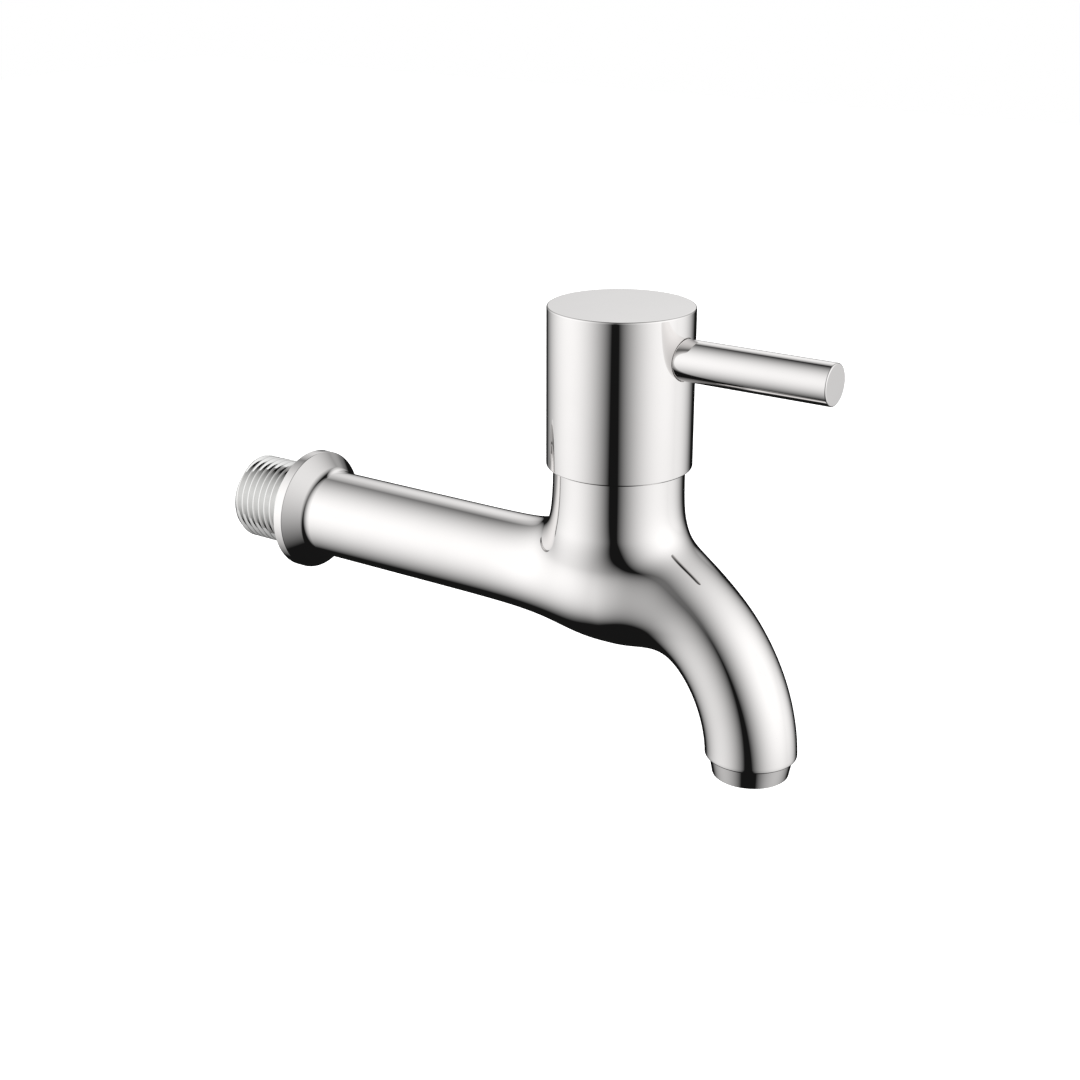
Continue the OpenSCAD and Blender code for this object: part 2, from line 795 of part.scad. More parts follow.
module aerator_diffuser() {
  color(plastic)
    translate([spout_x, 0, diffuser_z])
      linear_extrude(filter_z - diffuser_z)
        difference() {
          circle(r = insert_r);
          for (jet = [0 : jets - 1])
            rotate(jet * 360 / jets)
              translate([jet_circle_d / 2, 0])
                circle(d = jet_d);
        }
}

module aerator_mixer() {
  color(plastic)
    translate([spout_x, 0, mixer_z]) {
      ring(0, mixer_h, insert_r - mixer_wall, insert_r);
      cylinder(h = mixer_h, d1 = cone_tip_d, d2 = cone_base_d);
      for (turn = [0, 120, 240])
        rotate([0, 0, turn])
          translate([0, -spoke_w / 2, 0])
            cube([insert_r - mixer_wall / 2, spoke_w, spoke_w]);
    }
}

module aerator_outlet_screens() {
  color(steel)
    translate([spout_x, 0, 0]) {
      screen(screens_z);
      rotate([0, 0, 30])
        screen(screens_z + screen_t + film / 2);
    }
}

body();
cartridge_housing();
head_gasket();
seat_seal();
seal_support_ring();
fixed_disc();
moving_disc();
spindle();
glide_washer();
spindle_o_rings();
circlip();
handle_cap();
spline_insert();
lever_rod();
grub_screw();
aerator_shell();
aerator_gasket();
aerator_filter();
aerator_diffuser();
aerator_mixer();
aerator_outlet_screens();
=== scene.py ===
import math

import bmesh
import bpy
import numpy as np
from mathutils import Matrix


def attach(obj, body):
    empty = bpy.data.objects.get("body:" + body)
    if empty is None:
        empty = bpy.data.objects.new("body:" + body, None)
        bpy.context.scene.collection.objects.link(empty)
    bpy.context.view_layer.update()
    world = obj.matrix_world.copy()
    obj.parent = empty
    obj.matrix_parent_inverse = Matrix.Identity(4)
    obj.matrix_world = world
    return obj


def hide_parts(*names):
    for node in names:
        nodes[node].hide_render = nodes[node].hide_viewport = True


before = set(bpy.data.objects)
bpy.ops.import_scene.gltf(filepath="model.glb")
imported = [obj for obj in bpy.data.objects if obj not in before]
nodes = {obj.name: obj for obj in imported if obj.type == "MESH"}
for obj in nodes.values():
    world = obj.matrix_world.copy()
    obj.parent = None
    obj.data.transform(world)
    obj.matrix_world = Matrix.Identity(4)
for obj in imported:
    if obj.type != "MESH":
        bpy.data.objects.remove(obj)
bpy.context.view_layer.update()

# Body casting: the neck, the valve chamber and the spout of the tap in one brass casting.
# Sand-cast, so every branch runs into the next in a soft hollow, then ground, buffed to a mirror and
# chrome plated. The inlet's waterway, the chamber's bore and the aerator's socket are machined in it.
MM = 0.001
VALVE_X = 90.0
NECK_START, NECK_END, NECK_R = 4.7, 93.48, 10.5
BEND_X, BEND_Z, BEND_R = 84.97, -34.1, 40.41
SPOUT_R, SPOUT_X, SPOUT_END_Z = 10.16, 125.36, -32.3
SPOUT_FROM, SPOUT_TO = 80, -5  # degrees of the bend that the spout's tube takes up
CHAMBER_R, CHAMBER_RIM_Z = 14.45, 31.0
CHAMBER_LOW_Z, CHAMBER_BASE_R = 1.47, 13.68  # the chamber ends below in a rounded base
BELLY_X, BELLY_Z, BELLY_R = 88.46, 1.72, 9.01  # the swelling of the neck under the chamber
ROOT_X, ROOT_Z, ROOT_R = 102.85, -0.2, 8.49  # the swelling where the spout leaves the neck

# how softly two branches run together, and where that changes
BELLY_SOFT, ROOT_SOFT = 4.83, 2.01
SPOUT_SOFT_LOW, SPOUT_SOFT_HIGH, SPOUT_SOFT_TALL = 2.93, 2.7, 14.0
CHAMBER_SOFT_LOW, CHAMBER_SOFT_BACK, CHAMBER_SOFT_FRONT = 5.61, 3.24, 2.36
SOFT_MIDDLE_Z, SOFT_TALL, SOFT_BACK_X, SOFT_LONG = 2.04, 12.1, 82.0, 16.0


def run_together(first, second, softness):
    """Two skins of a casting, as distances in mm, that flow into each other over a soft hollow."""
    return np.minimum(first, second) - softness * np.log1p(np.exp(-np.abs(first - second) / softness))


def ease(share):
    """A share that starts and ends gently between 0 and 1."""
    share = np.clip(share, 0, 1)
    return share * share * (3 - 2 * share)


def change(first, last, share):
    """A size that goes gently from its first to its last value."""
    return first + (last - first) * ease(share)


def casting_skin(points):
    """Distance in mm of each point from the casting's skin, less than zero in the metal."""
    x, y, z = points.T
    neck = np.sqrt(np.maximum(x - NECK_END, 0) ** 2 + y ** 2 + z ** 2) - NECK_R
    turn = np.clip(np.arctan2(z - BEND_Z, x - BEND_X), math.radians(SPOUT_TO), math.radians(SPOUT_FROM))
    spout = np.sqrt((x - BEND_X - BEND_R * np.cos(turn)) ** 2 + y ** 2
                    + (z - BEND_Z - BEND_R * np.sin(turn)) ** 2) - SPOUT_R
    root = np.sqrt((x - ROOT_X) ** 2 + y ** 2 + (z - ROOT_Z) ** 2) - ROOT_R
    belly = np.sqrt((x - BELLY_X) ** 2 + y ** 2 + (z - BELLY_Z) ** 2) - BELLY_R
    spout_soft = change(SPOUT_SOFT_LOW, SPOUT_SOFT_HIGH, z / SPOUT_SOFT_TALL + 0.5)
    low = run_together(run_together(neck, belly, BELLY_SOFT), run_together(spout, root, ROOT_SOFT),
                       spout_soft)
    side = np.hypot(x - VALVE_X, y) - (CHAMBER_R - CHAMBER_BASE_R)
    under = CHAMBER_LOW_Z + CHAMBER_BASE_R - z
    chamber = (np.hypot(np.maximum(side, 0), np.maximum(under, 0))
               + np.minimum(np.maximum(side, under), 0) - CHAMBER_BASE_R)
    top_soft = change(CHAMBER_SOFT_BACK, CHAMBER_SOFT_FRONT, (x - SOFT_BACK_X) / SOFT_LONG)
    chamber_soft = change(CHAMBER_SOFT_LOW, top_soft, (z - SOFT_MIDDLE_Z) / SOFT_TALL + 0.5)
    return run_together(low, chamber, chamber_soft)


def seat_on_skin(points, rounds=6, step=0.02):
    """Moves points straight on to the casting's skin."""
    for _ in range(rounds):
        slope = np.stack([(casting_skin(points + way) - casting_skin(points - way)) / (2 * step)
                          for way in np.eye(3) * step], axis=1)
        points = points - slope * (casting_skin(points) / (slope ** 2).sum(1))[:, None]
    return points


def start_piece(name, primitive, **settings):
    """Adds a primitive at its size and place, as a new piece in edit mode with all of it selected."""
    bpy.ops.object.select_all(action="DESELECT")
    primitive(**settings)
    piece = bpy.context.active_object
    piece.name = piece.data.name = name
    bpy.ops.object.transform_apply(location=True, rotation=True, scale=True)
    bpy.ops.object.mode_set(mode="EDIT")
    bpy.ops.mesh.select_mode(type="VERT")
    bpy.ops.mesh.select_all(action="SELECT")
    return piece


def select_where(piece, kind, test):
    """Selects the edges or faces of a piece in edit mode whose middle, in mm, passes a test."""
    bpy.ops.mesh.select_all(action="DESELECT")
    bpy.ops.mesh.select_mode(type={"edges": "EDGE", "faces": "FACE"}[kind])
    shape = bmesh.from_edit_mesh(piece.data)
    for part in getattr(shape, kind):
        middle = sum((np.array(spot.co) for spot in part.verts), np.zeros(3)) / len(part.verts) / MM
        if test(middle, part):
            part.select_set(True)
    shape.select_flush_mode()
    bmesh.update_edit_mesh(piece.data)


def select_open(piece, test=lambda middle: True):
    """Selects the open edges of a piece in edit mode, or those whose middle passes a test."""
    select_where(piece, "edges", lambda middle, edge: len(edge.link_faces) < 2 and test(middle))


def move_on(*way):
    """Extrudes what is selected by a way in mm."""
    bpy.ops.mesh.extrude_region_move(TRANSFORM_OT_translate={"value": [length * MM for length in way]})


def leave_edit(smooth_below):
    """Turns all faces of the piece in edit mode outwards, leaves edit mode and smooths the shading."""
    bpy.ops.mesh.select_all(action="SELECT")
    bpy.ops.mesh.normals_make_consistent(inside=False)
    bpy.ops.object.mode_set(mode="OBJECT")
    bpy.ops.object.shade_smooth_by_angle(angle=math.radians(smooth_below))


def apply_modifier(piece, kind, **settings):
    """Gives a piece a modifier with its settings, and applies it."""
    bpy.ops.object.select_all(action="DESELECT")
    bpy.context.view_layer.objects.active = piece
    piece.select_set(True)
    bpy.ops.object.modifier_add(type=kind)
    modifier = piece.modifiers[-1]
    for key, value in settings.items():
        setattr(modifier, key, value)
    bpy.ops.object.modifier_apply(modifier=modifier.name)


# the tube of neck and spout: the neck is extruded and the bend is spun
TUBE_ROUND = 64
NECK_ROWS, SADDLE_ROWS, BEND_ROWS, BEND_SADDLE_ROWS = 16, 13, 50, 19
SADDLE_START, TURN_STEP = 70.0, 1.82
casting = start_piece("body_casting", bpy.ops.mesh.primitive_circle_add, vertices=TUBE_ROUND,
                      radius=NECK_R * MM, location=(NECK_START * MM, 0, 0), rotation=(0, math.pi / 2, 0))
for start, end, rows in ((NECK_START, SADDLE_START, NECK_ROWS), (SADDLE_START, BEND_X, SADDLE_ROWS)):
    for _ in range(rows):
        move_on((end - start) / rows, 0, 0)
bpy.ops.mesh.spin(steps=BEND_ROWS, angle=math.radians(BEND_ROWS * TURN_STEP),
                  center=(BEND_X * MM, 0, BEND_Z * MM), axis=(0, -1, 0))

# the upper half of the tube is opened where the chamber stands, 32 faces long and 32 round, so that the
# opening has as many edges as the circle of the chamber's rim
CHAMBER_ROUND, CHAMBER_ROWS = 128, 24
NEAR = 0.05  # mm, within which a point counts as on a plane
saddle_end = 90 - BEND_SADDLE_ROWS * TURN_STEP


def under_chamber(middle, face):
    x, y, z = middle
    if x < BEND_X:
        return x > SADDLE_START and z > 0
    turn = math.degrees(math.atan2(z - BEND_Z, x - BEND_X))
    return turn > saddle_end and math.hypot(z - BEND_Z, x - BEND_X) > -BEND_Z


select_where(casting, "faces", under_chamber)
bpy.ops.mesh.delete(type="FACE")
bpy.ops.mesh.select_all(action="DESELECT")
bpy.ops.mesh.primitive_circle_add(vertices=CHAMBER_ROUND, radius=CHAMBER_R * MM,
                                  location=(VALVE_X * MM, 0, CHAMBER_RIM_Z * MM))
select_open(casting, lambda middle: middle[0] > NECK_START + NEAR and middle[2] > SPOUT_END_Z)
bpy.ops.mesh.bridge_edge_loops(number_cuts=CHAMBER_ROWS, interpolation="LINEAR")
bpy.ops.object.mode_set(mode="OBJECT")


def points_of(piece):
    """The places of a piece's vertices, in mm."""
    places = np.empty(len(piece.data.vertices) * 3)
    piece.data.vertices.foreach_get("co", places)
    return places.reshape(-1, 3) / MM


def put_points(piece, points):
    """Moves a piece's vertices to places in mm."""
    piece.data.vertices.foreach_set("co", (points * MM).ravel())


# the net is laid on the skin, evened out along it, made finer and laid on it again; the spout's part is
# first lifted from the radius that it was spun at to its own
LIFT_OVER, LIFT_BELOW_Z = 45, 12  # degrees of the bend that it takes, and the height it stays below
HELD_PAST = 1.0  # mm past the spout's cut, from where the tube's end is held
EVENING_ROUNDS, EVENING_SHARE = 40, 0.5
spots = points_of(casting)
turned = np.degrees(np.arctan2(spots[:, 2] - BEND_Z, spots[:, 0] - BEND_X))
on_spout = (spots[:, 0] > BEND_X) * (spots[:, 2] < LIFT_BELOW_Z)
lift = (BEND_R + BEND_Z) * ease((90 - turned) / LIFT_OVER) * on_spout
spots[:, 0] += lift * np.cos(np.radians(turned))
spots[:, 2] += lift * np.sin(np.radians(turned))
links = np.empty(len(casting.data.edges) * 2, dtype=int)
casting.data.edges.foreach_get("vertices", links)
links = links.reshape(-1, 2)
neighbours = np.bincount(links.ravel(), minlength=len(spots))
held = ((np.abs(spots[:, 0] - NECK_START) < NEAR) | (np.abs(spots[:, 2] - CHAMBER_RIM_Z) < NEAR)
        | (spots[:, 2] < SPOUT_END_Z - HELD_PAST))
spots = seat_on_skin(spots)
for _ in range(EVENING_ROUNDS):
    total = np.zeros_like(spots)
    np.add.at(total, links[:, 0], spots[links[:, 1]])
    np.add.at(total, links[:, 1], spots[links[:, 0]])
    evened = spots + EVENING_SHARE * (total / neighbours[:, None] - spots)
    spots = np.where(held[:, None], spots, seat_on_skin(evened, rounds=2))
put_points(casting, spots)
apply_modifier(casting, "SUBSURF", levels=1, render_levels=1)
put_points(casting, seat_on_skin(points_of(casting)))

# machined ends: the spout is cut off level, with its last stretch drawn straight so that its edge can be
# rounded, then the aerator's socket, the chamber's bore and the waterway from the wall are sunk in
END_L, END_LEAN, SPOUT_EDGE_R = 1.0, 0.04, 0.45
SOCKET_R, SOCKET_DEEP = 8.3, 7.0
CHAMBER_BORE_R, CHAMBER_BORE_DEEP = 10.45, 20.9
WATERWAY_R, WATERWAY_L = 6.0, 78.0
SHARP = 1.0  # the turn, in radians, past which an edge is a corner
FINE = 1e-7  # metres, within which cuts and doubles are merged
bpy.ops.object.mode_set(mode="EDIT")
bpy.ops.mesh.select_all(action="SELECT")
bpy.ops.mesh.bisect(plane_co=(0, 0, (SPOUT_END_Z + END_L) * MM), plane_no=(0, 0, 1), clear_inner=True,
                    threshold=FINE)
select_open(casting, lambda middle: abs(middle[2] - SPOUT_END_Z - END_L) < NEAR)
move_on(END_LEAN * END_L, 0, -END_L)
for ring_at, along, ring_r, bore_r, into in (
        ((SPOUT_X, 0, SPOUT_END_Z), 2, SPOUT_R, SOCKET_R, (0, 0, SOCKET_DEEP)),
        ((VALVE_X, 0, CHAMBER_RIM_Z), 2, CHAMBER_R, CHAMBER_BORE_R, (0, 0, -CHAMBER_BORE_DEEP)),
        ((NECK_START, 0, 0), 0, NECK_R, WATERWAY_R, (WATERWAY_L, 0, 0))):
    select_open(casting, lambda middle: abs(middle[along] - ring_at[along]) < NEAR)
    bpy.ops.mesh.extrude_region_move()
    bpy.ops.transform.resize(value=[bore_r / ring_r] * 3, center_override=[place * MM for place in ring_at])
    move_on(*into)
    bpy.ops.mesh.edge_face_add()
select_where(casting, "edges", lambda middle, edge: len(edge.link_faces) == 2
             and abs(middle[2] - SPOUT_END_Z) < NEAR and edge.calc_face_angle(0) > SHARP
             and math.hypot(middle[0] - SPOUT_X, middle[1]) > (SOCKET_R + SPOUT_R) / 2)
bpy.ops.mesh.bevel(offset=SPOUT_EDGE_R * MM, segments=5)
leave_edit(smooth_below=35)


def linear(code):
    """An sRGB hex colour as linear red, green, blue and alpha."""
    parts = [int(code[i:i + 2], 16) / 255 for i in (1, 3, 5)]
    return [p / 12.92 if p <= 0.04045 else ((p + 0.055) / 1.055) ** 2.4 for p in parts] + [1]


def add_node(tree, kind, settings=None, **inputs):
    """Adds a node with its settings; an input, by name or as i and its number, is a value or an output."""
    node = tree.nodes.new(kind)
    for key, value in (settings or {}).items():
        setattr(node, key, value)
    for key, value in inputs.items():
        numbered = key[0] == "i" and key[1:].isdigit()
        socket = node.inputs[int(key[1:]) if numbered else key.replace("_", " ")]
        if isinstance(value, bpy.types.NodeSocket):
            tree.links.new(value, socket)
        else:
            socket.default_value = value
    return node


def new_material(name):
    """A material with an empty node tree, and its Object coordinates in metres."""
    material = bpy.data.materials.new(name)
    material.use_nodes = True
    tree = material.node_tree
    tree.nodes.clear()
    place = add_node(tree, "ShaderNodeTexCoord").outputs["Object"]
    return material, tree, place


# Polished bright chrome over buffed brass: a neutral mirror, very slightly warm here, with hardly any haze.
# The buffing wheel leaves a faint cloudiness some 8 mm across and a very slight orange peel of 2 mm.
chrome, tree, place = new_material("polished_chrome_plate")
haze = add_node(tree, "ShaderNodeTexNoise", Vector=place, Scale=1 / (8 * MM), Detail=3.0)
peel = add_node(tree, "ShaderNodeTexNoise", Vector=place, Scale=1 / (2 * MM), Detail=1.0)
tint = add_node(tree, "ShaderNodeMix", {"data_type": "RGBA"}, i0=haze.outputs["Fac"],
                i6=linear("#E5E3E2"), i7=linear("#E9E7E6"))
dull = add_node(tree, "ShaderNodeMapRange", Value=haze.outputs["Fac"], To_Min=0.012, To_Max=0.03)
swell = add_node(tree, "ShaderNodeBump", Height=peel.outputs["Fac"], Strength=0.02, Distance=0.01 * MM)
shader = add_node(tree, "ShaderNodeBsdfPrincipled", Base_Color=tint.outputs[2], Metallic=1.0,
                  Roughness=dull.outputs["Result"], Normal=swell.outputs["Normal"])
add_node(tree, "ShaderNodeOutputMaterial", Surface=shader.outputs[0])
casting.data.materials.append(chrome)
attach(casting, "tap")
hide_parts("body")

# Inlet thread: the end of the casting that screws into the wall, a half-inch parallel pipe thread.
# Cut on the brass in one pass with a chaser, plated only thinly, so the crests shine and the flanks
# stay grey. It is bored through for the water.
THREAD_R, THREAD_PITCH, THREAD_DEPTH, THREAD_END = 10.4, 1.814, 1.162, -17.5
THREAD_TURNS, TURN_ROUND, BORE_ROUND = 15, 72, 96
THREAD_IN, CORE_R = 1.5, 9.2  # the thread runs a little way into the flange, and its core to the neck
LEAD_IN, BORE_EDGE = 0.75, 0.4
# one turn of the thread as (share of the pitch, share of half the depth): flanks at 27.5 degrees and flats
TOOTH = [(0.0, -1.0), (0.083, -1.0), (0.417, 1.0), (0.583, 1.0), (0.917, -1.0), (1.0, -1.0)]
thread = start_piece("inlet_thread", bpy.ops.mesh.primitive_plane_add, size=MM)
bpy.ops.mesh.merge(type="CENTER")
bpy.ops.transform.translate(value=((THREAD_END - 2 * THREAD_PITCH) * MM, 0, (THREAD_R - THREAD_DEPTH) * MM))
for (at, height), (last_at, last_height) in zip(TOOTH[1:], TOOTH):
    move_on((at - last_at) * THREAD_PITCH, 0, (height - last_height) * THREAD_DEPTH / 2)
bpy.ops.object.mode_set(mode="OBJECT")
apply_modifier(thread, "SCREW", axis="X", angle=math.tau, screw_offset=THREAD_PITCH * MM,
               iterations=THREAD_TURNS, steps=TURN_ROUND, render_steps=TURN_ROUND,
               use_merge_vertices=True, merge_threshold=FINE)
bpy.ops.object.mode_set(mode="EDIT")
bpy.ops.mesh.select_all(action="SELECT")
bpy.ops.mesh.remove_doubles(threshold=FINE)
for cut_x, outer in ((THREAD_END, False), (THREAD_IN, True)):
    bpy.ops.mesh.select_all(action="SELECT")
    bpy.ops.mesh.bisect(plane_co=(cut_x * MM, 0, 0), plane_no=(1, 0, 0), clear_outer=outer,
                        clear_inner=not outer, threshold=FINE)
shape = bmesh.from_edit_mesh(thread.data)
for spot in shape.verts:  # the lead-in chamfer at the open end
    reach = math.hypot(spot.co.y, spot.co.z)
    limit = (THREAD_R - LEAD_IN) * MM + spot.co.x - THREAD_END * MM
    if reach > limit:
        spot.co.yz = spot.co.yz * (limit / reach)
bmesh.update_edit_mesh(thread.data)
bpy.ops.mesh.select_all(action="DESELECT")
bpy.ops.mesh.primitive_circle_add(vertices=BORE_ROUND, radius=WATERWAY_R * MM,
                                  location=(THREAD_END * MM, 0, 0), rotation=(0, math.pi / 2, 0))
select_open(thread, lambda middle: abs(middle[0] - THREAD_END) < NEAR)
bpy.ops.mesh.bridge_edge_loops()

# the bore, back over the core inside the flange and on to the thread's inner end
select_open(thread, lambda middle: abs(middle[0] - THREAD_END) < NEAR)
move_on(NECK_START - THREAD_END, 0, 0)
bpy.ops.mesh.extrude_region_move()
bpy.ops.transform.resize(value=(1, CORE_R / WATERWAY_R, CORE_R / WATERWAY_R),
                         center_override=(NECK_START * MM, 0, 0))
move_on(THREAD_IN - NECK_START, 0, 0)
select_open(thread)
bpy.ops.mesh.bridge_edge_loops()
select_where(thread, "edges", lambda middle, edge: len(edge.link_faces) == 2
             and edge.calc_face_angle(0) > SHARP and abs(middle[0] - THREAD_END) < NEAR
             and math.hypot(middle[1], middle[2]) < WATERWAY_R + NEAR)
bpy.ops.mesh.bevel(offset=BORE_EDGE * MM, segments=2)
leave_edit(smooth_below=40)

# Thinly plated cut brass: silver grey, brighter on the crests that tools and tape rub, satin on the flanks.
# The chaser leaves fine turning lines, 0.2 mm apart on the real one and drawn 0.35 mm apart so they show.
plated_cut, tree, place = new_material("thin_chrome_on_cut_thread")
fleck = add_node(tree, "ShaderNodeTexNoise", Vector=place, Scale=1 / (1.5 * MM), Detail=4.0)
WAVE = math.tau / 20  # a wave texture of this scale has lines 1 apart
lines = add_node(tree, "ShaderNodeTexWave", {"bands_direction": "X"}, Vector=place,
                 Scale=WAVE / (0.35 * MM), Distortion=0.6)
tint = add_node(tree, "ShaderNodeMix", {"data_type": "RGBA"}, i0=fleck.outputs["Fac"],
                i6=linear("#DADAD9"), i7=linear("#E4E4E3"))
dull = add_node(tree, "ShaderNodeMapRange", Value=fleck.outputs["Fac"], To_Min=0.03, To_Max=0.07)
swell = add_node(tree, "ShaderNodeBump", Height=lines.outputs["Fac"], Strength=0.03, Distance=0.02 * MM)
shader = add_node(tree, "ShaderNodeBsdfPrincipled", Base_Color=tint.outputs[2], Metallic=1.0,
                  Roughness=dull.outputs["Result"], Normal=swell.outputs["Normal"])
add_node(tree, "ShaderNodeOutputMaterial", Surface=shader.outputs[0])
thread.data.materials.append(plated_cut)
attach(thread, "tap")
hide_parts("body")

# Wall flange: the conical shoulder of the casting that is screwed up against the wall.
# Turned on the casting's end between the thread and the neck, with a small hollow that runs the cone into
# the neck, then buffed and chrome plated with the rest.
FLANGE_R, RIM_T, CONE_A, HOLLOW_R, FLANGE_BORE_L = 14.65, 2.45, 45, 2.9, 4.6
SUNK_R = NECK_R - 0.01  # the hollow ends just under the neck's skin


def turn_piece(name, axis, centre, outline, segments=160):
    """A turned piece: a circle extruded and widened along an outline of (place on the axis, radius)."""
    along, across = {"X": ((1, 0, 0), (0, math.pi / 2, 0)), "Z": ((0, 0, 1), (0, 0, 0))}[axis]

    def on_axis(place):
        return [(middle + way * place) * MM for middle, way in zip(centre, along)]

    piece = start_piece(name, bpy.ops.mesh.primitive_circle_add, vertices=segments,
                        radius=outline[0][1] * MM, location=on_axis(outline[0][0]), rotation=across)
    for (last, last_r), (place, radius) in zip(outline, outline[1:]):
        move_on(*[way * (place - last) for way in along])
        bpy.ops.transform.resize(value=[1 if way else radius / last_r for way in along],
                                 center_override=on_axis(place))
    return piece


def close_ends(piece):
    """Joins the first and last rings of a turned piece where it is a hollow ring."""
    select_open(piece)
    bpy.ops.mesh.bridge_edge_loops()


def cap_ends(piece):
    """Fills the first and last rings of a turned piece with flat ends."""
    select_open(piece)
    bpy.ops.mesh.edge_face_add()


def break_edges(piece, radius, segments=3):
    """Rounds every edge that turns by over 30 degrees, as a polishing wheel does, and smooths the rest."""
    bpy.ops.mesh.select_all(action="SELECT")
    bpy.ops.mesh.normals_make_consistent(inside=False)
    bpy.ops.object.mode_set(mode="OBJECT")
    apply_modifier(piece, "BEVEL", width=radius * MM, segments=segments, limit_method="ANGLE",
                   angle_limit=math.radians(30), harden_normals=False, use_clamp_overlap=True)
    bpy.ops.object.shade_smooth_by_angle(angle=math.radians(30))
    apply_modifier(piece, "WEIGHTED_NORMAL", keep_sharp=True)


cone_end = RIM_T + (FLANGE_R - SUNK_R) / math.tan(math.radians(CONE_A))
hollow_end = cone_end + HOLLOW_R * math.tan(math.radians(CONE_A / 2))
hollow = []
for turn in np.radians(np.linspace(CONE_A, 0, 6)):
    hollow.append((hollow_end - HOLLOW_R * math.sin(turn), SUNK_R + HOLLOW_R * (1 - math.cos(turn))))
flange = turn_piece("wall_flange_collar", "X", (0, 0, 0), [
    (FLANGE_BORE_L, SUNK_R), (FLANGE_BORE_L, CORE_R), (0, CORE_R), (0, FLANGE_R),
    (RIM_T, FLANGE_R)] + hollow)
close_ends(flange)
break_edges(flange, radius=0.12)
flange.data.materials.append(chrome)
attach(flange, "tap")
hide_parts("body")


def give_finish(finish, *names):
    """Gives solids of the frame a finish in place of their plain one."""
    for name in names:
        nodes[name].data.materials.clear()
        nodes[name].data.materials.append(finish)


# Turned free-cutting brass, uncoated: warm yellow, satin, with tool lines 0.25 mm apart up its axis.
brass, tree, place = new_material("turned_plain_brass")
tarnish = add_node(tree, "ShaderNodeTexNoise", Vector=place, Scale=1 / (5 * MM), Detail=4.0)
lines = add_node(tree, "ShaderNodeTexWave", {"bands_direction": "Z"}, Vector=place,
                 Scale=WAVE / (0.25 * MM), Distortion=0.4)
tint = add_node(tree, "ShaderNodeMix", {"data_type": "RGBA"}, i0=tarnish.outputs["Fac"],
                i6=linear("#C29B4E"), i7=linear("#D6B66C"))
dull = add_node(tree, "ShaderNodeMapRange", Value=tarnish.outputs["Fac"], To_Min=0.2, To_Max=0.36)
swell = add_node(tree, "ShaderNodeBump", Height=lines.outputs["Fac"], Strength=0.2, Distance=0.01 * MM)
shader = add_node(tree, "ShaderNodeBsdfPrincipled", Base_Color=tint.outputs[2], Metallic=1.0,
                  Roughness=dull.outputs["Result"], Normal=swell.outputs["Normal"])
add_node(tree, "ShaderNodeOutputMaterial", Surface=shader.outputs[0])
give_finish(brass, "cartridge_housing", "spindle")

# Nitrile rubber, moulded: near black, matt with a fine bloom.
rubber, tree, place = new_material("moulded_nitrile_rubber")
bloom = add_node(tree, "ShaderNodeTexNoise", Vector=place, Scale=1 / (1.2 * MM), Detail=5.0)
tint = add_node(tree, "ShaderNodeMix", {"data_type": "RGBA"}, i0=bloom.outputs["Fac"],
                i6=linear("#171718"), i7=linear("#262627"))
dull = add_node(tree, "ShaderNodeMapRange", Value=bloom.outputs["Fac"], To_Min=0.5, To_Max=0.7)
swell = add_node(tree, "ShaderNodeBump", Height=bloom.outputs["Fac"], Strength=0.2, Distance=0.02 * MM)
shader = add_node(tree, "ShaderNodeBsdfPrincipled", Base_Color=tint.outputs[2],
                  Roughness=dull.outputs["Result"], Normal=swell.outputs["Normal"])
add_node(tree, "ShaderNodeOutputMaterial", Surface=shader.outputs[0])
give_finish(rubber, "seat_seal", "spindle_o_rings")

# Acetal, moulded: milky white, satin, a little light passes into it.
acetal, tree, place = new_material("moulded_white_acetal")
flow = add_node(tree, "ShaderNodeTexNoise", Vector=place, Scale=1 / (3 * MM), Detail=2.0)
tint = add_node(tree, "ShaderNodeMix", {"data_type": "RGBA"}, i0=flow.outputs["Fac"],
                i6=linear("#E3E2DB"), i7=linear("#EDECE6"))
dull = add_node(tree, "ShaderNodeMapRange", Value=flow.outputs["Fac"], To_Min=0.32, To_Max=0.45)
shader = add_node(tree, "ShaderNodeBsdfPrincipled", Base_Color=tint.outputs[2],
                  Roughness=dull.outputs["Result"], IOR=1.48, Subsurface_Weight=0.1,
                  Subsurface_Scale=0.5 * MM)
add_node(tree, "ShaderNodeOutputMaterial", Surface=shader.outputs[0])
give_finish(acetal, "seal_support_ring", "glide_washer")

# Alumina ceramic, sintered and lapped: ivory white, glossy on the lapped faces, faintly mottled grain.
alumina, tree, place = new_material("lapped_alumina_ceramic")
grain = add_node(tree, "ShaderNodeTexNoise", Vector=place, Scale=1 / (0.8 * MM), Detail=5.0)
tint = add_node(tree, "ShaderNodeMix", {"data_type": "RGBA"}, i0=grain.outputs["Fac"],
                i6=linear("#EAE6DB"), i7=linear("#F3F0E8"))
dull = add_node(tree, "ShaderNodeMapRange", Value=grain.outputs["Fac"], To_Min=0.12, To_Max=0.22)
shader = add_node(tree, "ShaderNodeBsdfPrincipled", Base_Color=tint.outputs[2],
                  Roughness=dull.outputs["Result"], IOR=1.76)
add_node(tree, "ShaderNodeOutputMaterial", Surface=shader.outputs[0])
give_finish(alumina, "fixed_disc", "moving_disc")

